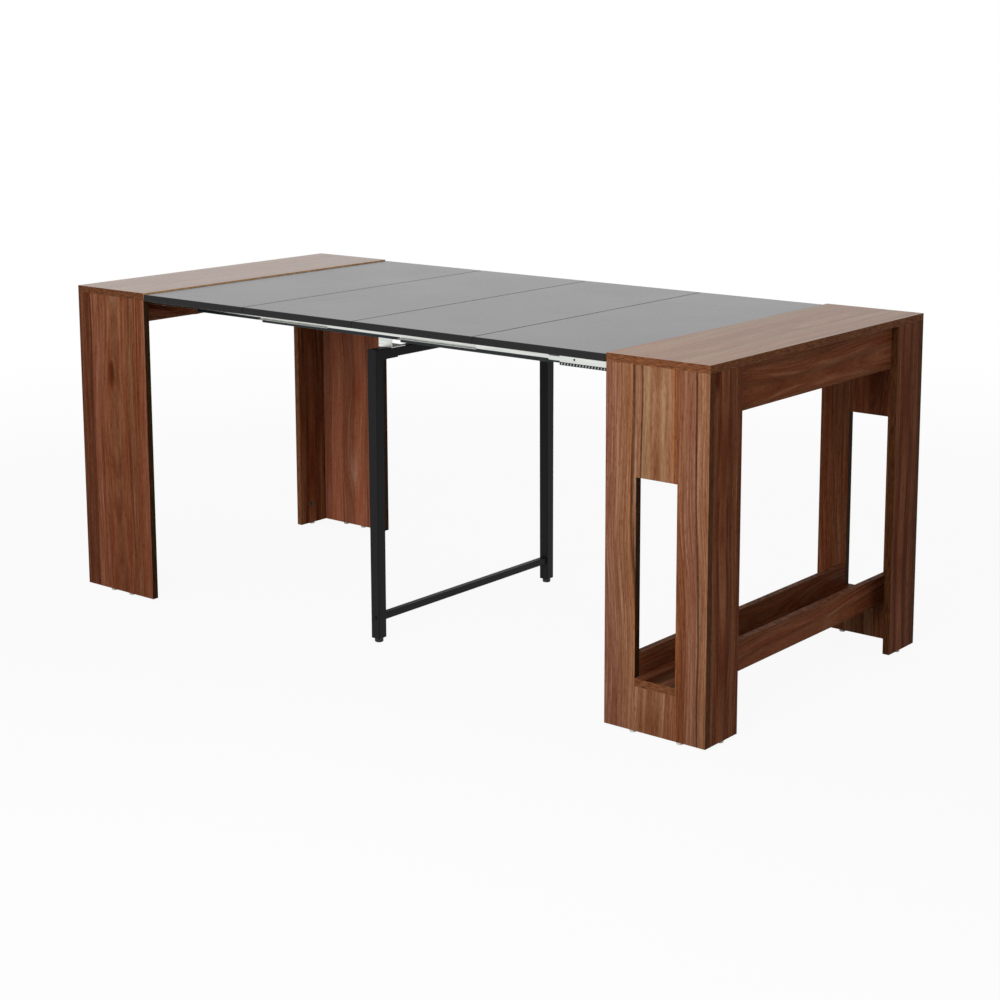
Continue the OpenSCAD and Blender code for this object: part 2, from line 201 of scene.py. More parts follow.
def walnut(name, cut, low, width, strips, seed, gloss, rough, arch, knot=None):
    """Walnut melamine, its cut named by the axes along the grain, across it and through the board."""
    made, tree, place = new_material(name)
    axes = add(tree, "ShaderNodeSeparateXYZ", {0: place})
    along, across, through = [axes.outputs[axis] for axis in cut]
    # The two faces of a board lie apart in the pattern, so each gets its own figure
    layer = add(tree, "ShaderNodeMath", {0: through, 1: THROUGH_STRETCH, 2: seed}, operation="MULTIPLY_ADD")
    flat = add(tree, "ShaderNodeCombineXYZ", {0: across, 1: layer, 2: along})
    slow = add(tree, "ShaderNodeVectorMath", {0: flat, 1: SWAY_WAVES}, operation="MULTIPLY")
    sway = add(tree, "ShaderNodeTexNoise", {"Vector": slow, "Scale": 1.0, "Detail": 1.0})
    bent = add(tree, "ShaderNodeMath", {0: sway, 1: SWAY, 2: across}, operation="MULTIPLY_ADD")
    share = add(tree, "ShaderNodeMapRange", {
        "Value": bent, "From Min": low + SWAY / 2, "From Max": low + width + SWAY / 2,
    })
    strip = add(tree, "ShaderNodeValToRGB", {0: share.outputs["Result"]}, stops=strip_stops(strips))
    tone = MEAN_GAMMA + sum(weight for *_, weight in GRAIN_LAYERS) / 2
    if knot:
        apart = add(tree, "ShaderNodeVectorMath", {0: place, 1: knot}, operation="SUBTRACT")
        split = add(tree, "ShaderNodeSeparateXYZ", {0: apart})
        spot = add(tree, "ShaderNodeCombineXYZ", {0: split.outputs[cut[1]], 2: split.outputs[cut[0]]})
        sized = add(tree, "ShaderNodeVectorMath", {0: spot, 1: KNOT_SIZE}, operation="DIVIDE")
        far = add(tree, "ShaderNodeVectorMath", {0: sized}, operation="LENGTH")
        swell = add(tree, "ShaderNodeMapRange", {
            "Value": far.outputs["Value"], "From Min": 0.2, "From Max": 1.9,
            "To Min": 1.0, "To Max": 0.0,
        }, interpolation_type="SMOOTHSTEP")
        bent = add(tree, "ShaderNodeMath", {0: swell.outputs["Result"], 1: KNOT_SWERVE, 2: bent},
                   operation="MULTIPLY_ADD")
        tone = add(tree, "ShaderNodeMath", {0: swell.outputs["Result"], 1: KNOT_DARKER, 2: tone},
                   operation="MULTIPLY_ADD")
    aside = add(tree, "ShaderNodeMath", {0: bent, 1: low + width * HEART_SHARE}, operation="SUBTRACT")
    rise = add(tree, "ShaderNodeVectorMath", {0: flat, 1: HEART_WAVES}, operation="MULTIPLY")
    hill = add(tree, "ShaderNodeTexNoise", {"Vector": rise, "Scale": 1.0, "Detail": 1.0})
    depth = add(tree, "ShaderNodeMapRange", {
        "Value": hill, "From Min": 0.3, "From Max": 0.7,
        "To Min": HEART_DEPTH, "To Max": HEART_DEPTH + arch,
    })
    reach = add(tree, "ShaderNodeCombineXYZ", {0: aside, 1: depth.outputs["Result"]})
    ring = add(tree, "ShaderNodeVectorMath", {0: reach}, operation="LENGTH")
    rings = add(tree, "ShaderNodeCombineXYZ", {0: ring.outputs["Value"], 1: layer, 2: along})
    for lines, stretch, detail, weight in GRAIN_LAYERS:
        drawn = add(tree, "ShaderNodeVectorMath", {0: rings, 1: (lines, 1, stretch)}, operation="MULTIPLY")
        grain = add(tree, "ShaderNodeTexNoise", {"Vector": drawn, "Scale": 1.0, "Detail": detail})
        tone = add(tree, "ShaderNodeMath", {0: grain, 1: -weight, 2: tone}, operation="MULTIPLY_ADD")
    short = add(tree, "ShaderNodeVectorMath", {0: flat, 1: PORES}, operation="MULTIPLY")
    dash = add(tree, "ShaderNodeTexNoise", {"Vector": short, "Scale": 1.0, "Detail": 1.0})
    pore = add(tree, "ShaderNodeMapRange", {
        "Value": dash, "From Min": 0.56, "From Max": 0.70, "To Max": PORE_DARKER,
    })
    tone = add(tree, "ShaderNodeMath", {0: tone, 1: pore.outputs["Result"]}, operation="ADD")
    colour = add(tree, "ShaderNodeGamma", {"Color": strip, "Gamma": tone})
    soft = add(tree, "ShaderNodeMapRange", {
        "Value": grain, "To Min": rough - ROUGH_SPREAD, "To Max": rough + ROUGH_SPREAD,
    })
    pressed = add(tree, "ShaderNodeBump", {"Height": tone, "Strength": 0.12, "Distance": PRESS_DEPTH})
    shader = add(tree, "ShaderNodeBsdfPrincipled", {
        "Base Color": colour, "Roughness": soft.outputs["Result"], "Normal": pressed,
        "Specular IOR Level": gloss,
    })
    add(tree, "ShaderNodeOutputMaterial", {"Surface": shader})
    return made


print(len(TONES), "walnut tones")

# %% [markdown]
# The sawn edges of a board are closed with a thin plastic strip, printed as brown wood with
# short fine dashes and no staves. It looks duller and more olive than the faces. It could be a
# thin solid of its own, but it lies flush, so the edge faces of a board take its material instead.
# The dashes run along the strip, so level and upright strips are two materials. The upright strip
# is drawn in three copies for the light that falls on it: darkest with painted shade in the slots and
# inner edges, lighter with less painted shade on the outer corners, and palest with painted light on
# the corner boards of the plain end. The strip where a top meets the leaves is honey coloured and
# lightened further by a painted highlight, so it shows as a thin light line.

# %% Edge band
# Dashes per metre along X, Y and Z. Printed dashes are about 0.5 mm wide, too fine to show, so
# these are about 2 mm wide, and 14 mm long on level strips and 25 mm on upright ones.
LEVEL_DASHES = (70, 70, 520)
UPRIGHT_DASHES = (420, 420, 40)


def edge_band(name, stretch, hex_dark, hex_light, gloss):
    """Printed ABS edge band with short dashes drawn out along the strip."""
    made, tree, place = new_material(name)
    drawn = add(tree, "ShaderNodeVectorMath", {0: place, 1: stretch}, operation="MULTIPLY")
    dashes = add(tree, "ShaderNodeTexNoise", {"Vector": drawn, "Scale": 1.0, "Detail": 3.0})
    colour = add(tree, "ShaderNodeValToRGB", {0: dashes}, stops=[(0.36, hex_dark), (0.64, hex_light)])
    pressed = add(tree, "ShaderNodeBump", {"Height": dashes, "Strength": 0.2, "Distance": PRESS_DEPTH})
    shader = add(tree, "ShaderNodeBsdfPrincipled", {
        "Base Color": colour, "Roughness": 0.5, "Normal": pressed, "Specular IOR Level": gloss,
    })
    add(tree, "ShaderNodeOutputMaterial", {"Surface": shader})
    return made


BANDS = [
    edge_band("walnut_abs_edge_band_level", LEVEL_DASHES, "#53311f", "#825134", 0.02),
    # Upright strip darkened with painted shade, for the slots and inner edges
    edge_band("walnut_abs_edge_band_upright", UPRIGHT_DASHES, "#24160c", "#402917", 0.02),
    # Honey strip lightened with a painted highlight, for the seams
    edge_band("walnut_abs_edge_band_seam", LEVEL_DASHES, "#a5794b", "#c79a68", 0.3),
    # Upright strip with less painted shade, for the outer corners
    edge_band("walnut_abs_edge_band_outer", UPRIGHT_DASHES, "#3a2113", "#5f391f", 0.02),
    # Upright strip lightened with painted light, for the plain end's corner boards
    edge_band("walnut_abs_edge_band_pale", UPRIGHT_DASHES, "#68402a", "#976343", 0.02),
]
print(len(BANDS), "edge bands")

# %% [markdown]
# The leaves are faced with plain charcoal laminate. Its resin is pressed with a fine pearl
# texture, so it's dark seen from the side and pale seen along the surface, where it mirrors the
# bright room. The roughness keeps that mirror soft and the base colour stays truly dark.

# %% Charcoal laminate
# Speckles, clouds and pearls per metre. Real speckles and pearls are about 0.3 mm wide, too fine
# to show, so they're drawn 1.1 and 0.7 mm wide. The clouds are 200 mm wide.
SPECKLES = 900.0
CLOUDS = 5.0
PEARLS = 1400.0
PEARL_DEPTH = 0.0002
# How much a cloud weighs beside a speckle
CLOUD_WEIGHT = 0.35


def charcoal(name, hex_dark, hex_light, rough, gloss):
    """Charcoal laminate: a dark speckle under a softly glossy, faintly violet pearl texture."""
    made, tree, place = new_material(name)
    speckle = add(tree, "ShaderNodeTexNoise", {"Vector": place, "Scale": SPECKLES, "Detail": 2.0})
    cloud = add(tree, "ShaderNodeTexNoise", {"Vector": place, "Scale": CLOUDS, "Detail": 2.0})
    mixed = add(tree, "ShaderNodeMath", {0: cloud, 1: CLOUD_WEIGHT, 2: speckle}, operation="MULTIPLY_ADD")
    colour = add(tree, "ShaderNodeValToRGB", {0: mixed}, stops=[(0.50, hex_dark), (0.85, hex_light)])
    soft = add(tree, "ShaderNodeMapRange", {
        "Value": cloud, "To Min": rough - ROUGH_SPREAD / 2, "To Max": rough + ROUGH_SPREAD / 2,
    })
    pearl = add(tree, "ShaderNodeTexNoise", {"Vector": place, "Scale": PEARLS, "Detail": 1.0})
    pressed = add(tree, "ShaderNodeBump", {"Height": pearl, "Strength": 0.06, "Distance": PEARL_DEPTH})
    shader = add(tree, "ShaderNodeBsdfPrincipled", {
        "Base Color": colour, "Roughness": soft.outputs["Result"], "Normal": pressed,
        "Specular IOR Level": gloss, "Specular Tint": linear("#f7f4fb"),
    })
    add(tree, "ShaderNodeOutputMaterial", {"Surface": shader})
    return made


leaf_face = charcoal("charcoal_laminate_pearl", "#2f2f32", "#3c3c40", 0.27, 0.55)
leaf_band = charcoal("charcoal_abs_edge_band", "#1b1a1a", "#262525", 0.45, 0.15)

# %% [markdown]
# The slides are rolled from steel strip and zinc plated, which leaves a bright, slightly cloudy
# metal with faint lines along the strip. The balls and their cages are bare steel under oil, and
# look darker. The leg is mild steel tube under a satin black powder coat, with the tiny dimples
# that powder leaves when it melts. The clips are stamped brass, and feet and glides are moulded.
# One function makes them all, because each is one colour with a streak or a grain in it.

# %% Metals, powder coat and plastics
def finish(name, hex_dark, hex_light, metallic, rough, stretch, bump, gloss=0.5):
    """A one-colour finish whose grain is drawn out by stretch, in lines per metre."""
    made, tree, place = new_material(name)
    drawn = add(tree, "ShaderNodeVectorMath", {0: place, 1: stretch}, operation="MULTIPLY")
    grain = add(tree, "ShaderNodeTexNoise", {"Vector": drawn, "Scale": 1.0, "Detail": 3.0})
    colour = add(tree, "ShaderNodeValToRGB", {0: grain}, stops=[(0.35, hex_dark), (0.65, hex_light)])
    soft = add(tree, "ShaderNodeMapRange", {
        "Value": grain, "To Min": rough - ROUGH_SPREAD, "To Max": rough + ROUGH_SPREAD,
    })
    dimple = add(tree, "ShaderNodeBump", {"Height": grain, "Strength": bump, "Distance": PRESS_DEPTH})
    shader = add(tree, "ShaderNodeBsdfPrincipled", {
        "Base Color": colour, "Metallic": metallic, "Roughness": soft.outputs["Result"], "Normal": dimple,
        "Specular IOR Level": gloss,
    })
    add(tree, "ShaderNodeOutputMaterial", {"Surface": shader})
    return made


# Rolling lines and the grain of a casting or moulding are well under 1 mm wide, too fine to show,
# so they're drawn 1.4 to 3.3 mm wide. The powder coat's dimples have their real 1.1 mm, streaks in
# the painted shade of the races are 17 mm long, and patches of oil 5 mm wide.
zinc = finish("zinc_plated_rolled_steel", "#d6dad5", "#eef0ea", 1.0, 0.34, (12, 300, 300), 0.10)
cam_zinc = finish("die_cast_zinc", "#4a4845", "#63605b", 1.0, 0.50, (400, 400, 400), 0.15)
oiled = finish("oiled_bare_steel", "#6d7076", "#8f9298", 1.0, 0.28, (200, 200, 200), 0.05)
powder = finish("satin_black_powder_coat", "#141416", "#1b1b1d", 0.0, 0.46, (900, 900, 900), 0.20, 0.12)
# The races' painted shade: near black, standing in for the shade that falls in them
painted_race_shade = finish("greased_black_ball_race", "#161d20", "#263034", 0.0, 0.35, (60, 400, 400), 0.10, 0.25)
brass = finish("stamped_brass", "#a97c3c", "#c39650", 1.0, 0.33, (60, 600, 600), 0.10)
foot_black = finish("moulded_black_polyamide", "#141415", "#1b1b1d", 0.0, 0.55, (700, 700, 700), 0.15, 0.4)
glide_pale = finish("moulded_pale_polyethylene", "#cfcdc6", "#dcdad4", 0.0, 0.50, (500, 500, 500), 0.10, 0.4)

# %% [markdown]
# Most pieces start from the CAD node that they dress. Its mesh is loose triangles, so a copy is
# merged and its flat faces are joined before anything is rounded.
# A node may hold several equal solids, such as a row of screws. Their boxes say where a
# detailed piece goes, so no place is written twice.

# %% Copies of CAD nodes
WELD = 1e-6
FLAT = math.radians(0.5)
UP = (0.0, 0.0, 1.0)


def merged(node):
    """The node's mesh with its doubles merged and its flat faces joined."""
    bm = bmesh.new()
    bm.from_mesh(frame["nodes"][node].data)
    bmesh.ops.remove_doubles(bm, verts=bm.verts, dist=WELD)
    bmesh.ops.dissolve_limit(bm, angle_limit=FLAT, verts=bm.verts, edges=bm.edges)
    return bm


def solids(node):
    """The lowest and highest corner of each separate solid in a node."""
    bm = bmesh.new()
    bm.from_mesh(frame["nodes"][node].data)
    bmesh.ops.remove_doubles(bm, verts=bm.verts, dist=WELD)
    left = set(bm.verts)
    boxes = []
    while left:
        found = [left.pop()]
        for vert in found:
            for edge in vert.link_edges:
                other = edge.other_vert(vert)
                if other in left:
                    left.remove(other)
                    found.append(other)
        places = [vert.co for vert in found]
        boxes.append((Vector(map(min, *places)), Vector(map(max, *places))))
    bm.free()
    return sorted(boxes, key=lambda box: tuple(round(c, 4) for c in box[0]))


def body_of(node):
    """The body that a CAD node rides on."""
    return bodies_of(frame["nodes"][node])[0]


def cut_level(bm, height):
    """Cuts every face at a height, so that what lies above can take another finish."""
    parts = list(bm.verts) + list(bm.edges) + list(bm.faces)
    bmesh.ops.bisect_plane(bm, geom=parts, plane_co=(0, 0, height), plane_no=UP, dist=WELD)


def as_object(name, bm):
    """Turns a bmesh into an object of the scene, with its place in its mesh."""
    mesh = bpy.data.meshes.new(name)
    bm.to_mesh(mesh)
    bm.free()
    made = bpy.data.objects.new(name, mesh)
    bpy.context.collection.objects.link(made)
    return made


def keep_result(carrier, modifier):
    """Keeps what a modifier makes as the object's own plain mesh, and drops the modifier."""
    ready = carrier.evaluated_get(bpy.context.evaluated_depsgraph_get())
    result = bpy.data.meshes.new_from_object(ready)
    carrier.modifiers.remove(modifier)
    carrier.data = result
    return carrier


def make_piece(name, bm, materials, body, nodes=()):
    """Turns a bmesh into a finished piece that rides on a body and stands for CAD nodes."""
    piece = as_object(name, bm)
    for made in materials:
        piece.data.materials.append(made)
    return declare(piece, body, nodes)


def declare(piece, body, nodes=()):
    """Tells the frame what a piece rides on and hides the CAD nodes that it stands for."""
    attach(piece, body)
    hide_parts(*nodes)
    return piece


def round_edges(piece, width, segments=2, angle=30):
    """Rounds the sharp edges of a piece."""
    bevel = piece.modifiers.new("rounded_edges", "BEVEL")
    bevel.width = width
    bevel.segments = segments
    bevel.limit_method = "ANGLE"
    bevel.angle_limit = math.radians(angle)
    bevel.use_clamp_overlap = False
    return piece


print("storage glides:", len(solids("storage_glides")))

# %% [markdown]
# Every board of the two end frames is listed with the axis of its grain, the axis across it and
# the axis of its thickness. The wide sides show the staves that the photograph shows, and the
# others take a quieter run of staves, shifted from board to board by a seed.
# All boards get edges rounded by 0.6 mm, as the strip has after trimming.

# %% Boards of the end frames
# The storage end's near side: paler, bluer staves, partly its print and partly a painted sheen
STORAGE_SIDE = [
    (0.0, "dun"), (0.16, "fawn"), (0.282, "honey"), (0.293, "dark"), (0.325, "fawn"),
    (0.385, "dark"), (0.395, "pale"), (0.42, "tan"), (0.47, "fawn"), (0.565, "tan"), (0.60, "pale"),
    (0.688, "honey"), (0.70, "brown"), (0.80, "dun"), (0.918, "dark"), (0.928, "fawn"),
]
PLAIN_SIDE = [
    (0.0, "heart"), (0.205, "warm"), (0.37, "red"), (0.50, "brown"), (0.60, "red"), (0.74, "brown"),
    (0.85, "red"), (0.94, "warm"),
]
# Paler rose and blush staves for the plain end's far side: painted light where the lamps leave it dark
SIDE_WITH_PAINTED_LIGHT = [
    (0.0, "rose"), (0.18, "blush"), (0.36, "rose"), (0.55, "blush"), (0.72, "rose"), (0.88, "blush"),
]
QUIET_SIDE = [
    (0.0, "red"), (0.14, "brown"), (0.34, "red"), (0.52, "heart"), (0.70, "red"), (0.88, "brown"),
]
TOP = [
    (0.0, "honey"), (0.03, "tan"), (0.16, "pale"), (0.30, "fawn"), (0.42, "pale"), (0.58, "fawn"),
    (0.66, "tan"), (0.74, "pale"), (0.90, "fawn"), (0.96, "tan"),
]
NARROW = [
    (0.0, "brown"), (0.10, "heart"), (0.24, "red"), (0.38, "brown"), (0.52, "heart"), (0.70, "brown"),
    (0.86, "heart"),
]
CROSSWISE = [(0.0, "brown"), (0.15, "red"), (0.45, "brown"), (0.60, "red"), (0.85, "brown")]
# Darkest staves for the shelf under the top: painted shade
SHELF_PAINTED_SHADE = [(0.0, "heart"), (0.25, "shade"), (0.60, "heart"), (0.80, "shade")]
MIXED = [(0.0, "fawn"), (0.30, "brown"), (0.55, "fawn"), (0.80, "brown")]
# For each part of a node's name: axes along, across and through, strips, gloss, roughness and the
# rise of the tree's heart, which draws the arches
CUTS = {
    "top": ("YXZ", TOP, 0.43, 0.40, 0.02),
    "side": ("ZXY", None, 0.02, 0.42, 0.014),
    "plinth": ("ZXY", MIXED, 0.02, 0.42, 0.01),
    "corner": ("ZYX", NARROW, 0.01, 0.42, 0.008),
    "apron": ("YZX", CROSSWISE, 0.01, 0.42, 0.012),
    "shelf": ("YXZ", SHELF_PAINTED_SHADE, 0.02, 0.42, 0.02),
    "rail": ("YZX", CROSSWISE, 0.01, 0.42, 0.012),
    "cleat": ("XZY", CROSSWISE, 0.02, 0.42, 0.02),
}
SIDES = {"storage_side_near": STORAGE_SIDE, "plain_side_near": PLAIN_SIDE, "plain_side_far": SIDE_WITH_PAINTED_LIGHT}
# The plain end's top is the glossier of the two: its gloss and roughness
POLISHED = {"plain_top": (0.55, 0.29)}
KNOTS = {"plain_side_near": (-0.81, -0.426, 0.55), "storage_corner_near": (0.924, -0.405, 0.735)}
BOARD_EDGE = 0.0006
# A face lies square to an axis when its normal keeps this share of its length along it
SQUARE = 0.9
# Upright strips farther out than this are on an outer corner
OUTER_CORNER = 0.9
# How far apart the seeds of two boards are
SEED_STEP = 0.37
# Places of the finishes in a board's list
PRINT, LEVEL, UPRIGHT, SEAM, OUTER, PAINTED_LIGHT_BAND = range(6)


def board_piece(node, seed):
    """A board with melamine on its two faces and edge band round its edges."""
    kind = node.split("_")[1]
    cut, strips, gloss, rough, arch = CUTS[kind]
    gloss, rough = POLISHED.get(node, (gloss, rough))
    along, across, through = ["XYZ".index(axis) for axis in cut]
    low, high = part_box(node)
    face = walnut(node + "_walnut_melamine", cut, low[across], high[across] - low[across],
                  strips or SIDES.get(node, QUIET_SIDE), seed, gloss, rough, arch, KNOTS.get(node))
    outward = math.copysign(1.0, low.x)
    bm = merged(node)
    for flat in bm.faces:
        upright = abs(flat.normal.z) < 0.5 and along == 2
        end_wise = abs(flat.normal.x) > SQUARE and abs(flat.calc_center_median().x) > OUTER_CORNER
        if kind == "top" and flat.normal.x * outward < -SQUARE:
            flat.material_index = SEAM
        elif abs(flat.normal[through]) > SQUARE:
            flat.material_index = PRINT
        elif not upright:
            flat.material_index = LEVEL
        # Upright strips: less painted shade outside, painted light on plain corners, painted shade elsewhere
        elif end_wise or (kind == "corner" and low.x > 0):
            flat.material_index = OUTER
        else:
            flat.material_index = PAINTED_LIGHT_BAND if kind == "corner" else UPRIGHT
    made = make_piece(node + "_board", bm, [face, *BANDS], body_of(node), [node])
    return round_edges(made, BOARD_EDGE)


board_nodes = [n for n in sorted(frame["nodes"]) if n.split("_")[0] in ("storage", "plain")
               and n.split("_")[1] in CUTS]
boards = [board_piece(node, SEED_STEP * i) for i, node in enumerate(board_nodes)]
print(len(boards), "boards")

# %% [markdown]
# The four leaves are the same board material in another dress: charcoal laminate above and
# below, and a black strip of edge band around. The strip's own rounded edge is black too, which
# draws a fine dark line at each seam.

# %% Leaves
LEAF_EDGE = 0.0019


def leaf_piece(node):
    """A leaf with laminate on its two faces and a dark strip round its edges."""
    bm = merged(node)
    for flat in bm.faces:
        flat.material_index = 0 if abs(flat.normal.z) > SQUARE else 1
    made = make_piece(node + "_board", bm, [leaf_face, leaf_band], body_of(node),
                      [node])
    round_edges(made, LEAF_EDGE).modifiers["rounded_edges"].material = 1
    return made


leaves = [leaf_piece(f"leaf_{number}") for number in range(1, 5)]
print(len(leaves), "leaves")

# %% [markdown]
# Each slide is three channels of rolled steel, one inside the other. Rolling leaves no sharp
# corner, so the copies of the CAD channels get rounded edges, their fixing holes included.
# The balls run in two races, one along each long edge, and shade falls in them, so each outer
# and middle channel is cut along two lines and its outer bands are near black as painted shade.
# The spacers and the leg's brackets are cut and bent from the same plated steel.

# %% Slide channels, spacers and brackets
RACE_SHADE_BAND = 0.0068
STEEL_EDGE = 0.0004


def plated_piece(node, bm=None, materials=(zinc,)):
    """A plated steel piece with its edges rounded."""
    made = make_piece(node + "_steel", bm or merged(node), materials, body_of(node),
                      [node])
    return round_edges(made, STEEL_EDGE)


def channel_piece(node):
    """A slide channel with painted shade along each long edge, where its races lie."""
    bm = merged(node)
    low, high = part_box(node)
    edges = (low.z + RACE_SHADE_BAND, high.z - RACE_SHADE_BAND)
    for height in edges:
        cut_level(bm, height)
    for flat in bm.faces:
        middle = flat.calc_center_median().z
        # Outside the middle band, the faces take the painted shade of the races
        flat.material_index = 0 if edges[0] < middle < edges[1] or node.endswith("inner") else 1
    return plated_piece(node, bm, (zinc, painted_race_shade))


channels = [f"slide_{slide}_{member}" for slide in (1, 2, 3) for member in ("outer", "middle", "inner")]
steel = [channel_piece(node) for node in channels]
steel += [plated_piece(node) for node in ("slide_spacers", "leg_brackets")]
print(len(steel), "plated pieces")

# %% [markdown]
# What repeats is grown on points by Geometry Nodes: one tree per kind of fitting, with named
# inputs for its sizes. A point carries the direction that its fitting faces.
# The result is kept as a plain mesh, because an exported model has no modifiers or instances.

# %% Growing fittings on points
def new_tree(name, sizes):
    """An empty geometry tree with named number inputs, its inputs and the turn of each point."""
    tree = bpy.data.node_groups.new(name, "GeometryNodeTree")
    tree.interface.new_socket("Geometry", in_out="INPUT", socket_type="NodeSocketGeometry")
    for size, start in sizes.items():
        kind = "NodeSocketInt" if isinstance(start, int) else "NodeSocketFloat"
        tree.interface.new_socket(size, in_out="INPUT", socket_type=kind).default_value = start
    tree.interface.new_socket("Material", in_out="INPUT", socket_type="NodeSocketMaterial")
    tree.interface.new_socket("Geometry", in_out="OUTPUT", socket_type="NodeSocketGeometry")
    given = add(tree, "NodeGroupInput")
    facing = add(tree, "GeometryNodeInputNamedAttribute", {"Name": "facing"}, data_type="FLOAT_VECTOR")
    turn = add(tree, "FunctionNodeAlignRotationToVector", {"Vector": facing.outputs["Attribute"]},
               axis="Z")
    return tree, given.outputs, turn


def end_tree(tree, given, turn, fitting):
    """Puts the fitting on every point, makes the copies real and gives them the material."""
    copies = add(tree, "GeometryNodeInstanceOnPoints", {
        "Points": given["Geometry"], "Instance": fitting, "Rotation": turn,
    })
    real = add(tree, "GeometryNodeRealizeInstances", {"Geometry": copies})
    painted = add(tree, "GeometryNodeSetMaterial", {"Geometry": real, "Material": given["Material"]})
    add(tree, "NodeGroupOutput", {"Geometry": painted})
    return tree


def grow(name, tree, points, sizes, made):
    """Runs a tree on points, each a place and a facing, and keeps the result as a plain mesh."""
    seeds = bpy.data.meshes.new(name)
    seeds.from_pydata([place for place, _ in points], [], [])
    facing = seeds.attributes.new("facing", "FLOAT_VECTOR", "POINT")
    facing.data.foreach_set("vector", [c for _, toward in points for c in toward])
    carrier = bpy.data.objects.new(name, seeds)
    bpy.context.collection.objects.link(carrier)
    modifier = carrier.modifiers.new("grow", "NODES")
    modifier.node_group = tree
    for socket in tree.interface.items_tree:
        if socket.in_out == "INPUT" and socket.name in sizes:
            modifier[socket.identifier] = sizes[socket.name]
        if socket.in_out == "INPUT" and socket.name == "Material":
            modifier[socket.identifier] = made
    return keep_result(carrier, modifier)


print("fittings are grown on points")

# %% [markdown]
# A ball cage is a thin strip with a pocket round each ball, and a strip runs in each race.
# The tree draws one strip along X with its balls, and a node's four strips are its four points.

# %% Ball cages
BALL_PITCH = 0.016
CAGE_THICKNESS = 0.0008
# Width and depth of a pocket, in ball radii and in strip thicknesses
POCKET_WIDTH = 1.35
POCKET_DEPTH = 1.6


def cage_tree():
    """A strip with a row of balls, each in a raised pocket."""
    tree, given, turn = new_tree("ball_cage", {
        "Length": 0.096, "Width": 0.005, "Thickness": CAGE_THICKNESS, "Balls": 6, "Pitch": BALL_PITCH,
        "Ball Radius": 0.0014, "First": -0.04,
    })
    size = add(tree, "ShaderNodeCombineXYZ", {0: given["Length"], 1: given["Width"], 2: given["Thickness"]})
    strip = add(tree, "GeometryNodeMeshCube", {"Size": size})
    start = add(tree, "ShaderNodeCombineXYZ", {0: given["First"]})
    step = add(tree, "ShaderNodeCombineXYZ", {0: given["Pitch"]})
    row = add(tree, "GeometryNodeMeshLine", {
        "Count": given["Balls"], "Start Location": start, "Offset": step,
    })
    ball = add(tree, "GeometryNodeMeshIcoSphere", {"Radius": given["Ball Radius"], "Subdivisions": 2})
    rim = add(tree, "ShaderNodeMath", {0: given["Ball Radius"], 1: POCKET_WIDTH}, operation="MULTIPLY")
    deep = add(tree, "ShaderNodeMath", {0: given["Thickness"], 1: POCKET_DEPTH}, operation="MULTIPLY")
    pocket = add(tree, "GeometryNodeMeshCylinder", {"Vertices": 16, "Radius": rim, "Depth": deep})
    both = add(tree, "GeometryNodeJoinGeometry", {0: ball})
    tree.links.new(pocket.outputs["Mesh"], both.inputs[0])
    balls = add(tree, "GeometryNodeInstanceOnPoints", {"Points": row, "Instance": both})
    whole = add(tree, "GeometryNodeJoinGeometry", {0: strip})
    tree.links.new(balls.outputs[0], whole.inputs[0])
    return end_tree(tree, given, turn, whole)


ball_cage = cage_tree()
for number in range(1, 7):
    node = f"ball_cage_{number}"
    strips = solids(node)
    low, high = strips[0]
    length = high.x - low.x
    ball_radius = (high.z - low.z) / 2
    balls = round(length / BALL_PITCH)
    points = [((a + b) / 2, UP) for a, b in strips]
    cage = grow(node + "_steel", ball_cage, points, {
        "Length": length, "Width": high.y - low.y, "Balls": balls, "Pitch": length / balls,
        "First": -length / 2 + length / balls / 2, "Ball Radius": ball_radius,
    }, oiled)
    declare(cage, body_of(node), [node])
print("balls in a strip:", balls)

# %% [markdown]
# The race of the fixed outer channel is stiffened by a row of small slanting ribs, pressed out of
# the plated steel and left bare of the painted shade, which show as light dashes on it, and a black
# pin stands a little way in. A thin stop plate is welded to the middle channel where it leaves the
# outer one, with a band of painted shadow along its upper edge. It's thinner than the gap between
# their webs, so it slides in behind the outer web when the table is pushed shut.

# %% Ribs of the fixed slides
RIB_PITCH = 0.0078
RIB_HALF = 0.0030
# The slant of a rib in radians, and its shape in shares of a ball
RIB_SLANT = 0.35
RIB_SHAPE = (0.38, 0.26, 1.0)
# The first rib's place in from the mouth and up from the edge, and the length without ribs
FIRST_RIB = 0.006
RIB_UP = 0.0036
BARE_LENGTH = 0.05


def rib_tree():
    """A row of slanting ribs along X from every point."""
    tree, given, turn = new_tree("race_ribs", {
        "Ribs": 10, "Pitch": RIB_PITCH, "Half Length": RIB_HALF,
    })
    step = add(tree, "ShaderNodeCombineXYZ", {0: given["Pitch"]})
    row = add(tree, "GeometryNodeMeshLine", {"Count": given["Ribs"], "Offset": step})
    lump = add(tree, "GeometryNodeMeshIcoSphere", {"Radius": given["Half Length"], "Subdivisions": 2})
    rib = add(tree, "GeometryNodeTransform", {
        "Geometry": lump, "Rotation": (0.0, RIB_SLANT, 0.0), "Scale": RIB_SHAPE,
    })
    ribs = add(tree, "GeometryNodeInstanceOnPoints", {"Points": row, "Instance": rib})
    return end_tree(tree, given, turn, ribs)


low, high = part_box("slide_1_outer")
rib_count = int((high.x - low.x - BARE_LENGTH) / RIB_PITCH)
rows = [((low.x + FIRST_RIB, side * high.y, low.z + RIB_UP), UP) for side in (-1, 1)]
ribs = grow("race_ribs_steel", rib_tree(), rows, {
    "Ribs": rib_count, "Pitch": RIB_PITCH, "Half Length": RIB_HALF,
}, zinc)
declare(ribs, body_of("slide_1_outer"))
print("ribs in a race:", rib_count)

# %% [markdown]
# A stop plate is a strip of sheet, so it's made from a box whose four edges through the sheet are
# rounded. It's sunk a little into the web that it's welded to.

# %% Stop plates of the fixed slides
STOP_SIZE = (0.030, 0.0004, 0.0105)
STOP_CORNER = 0.0025
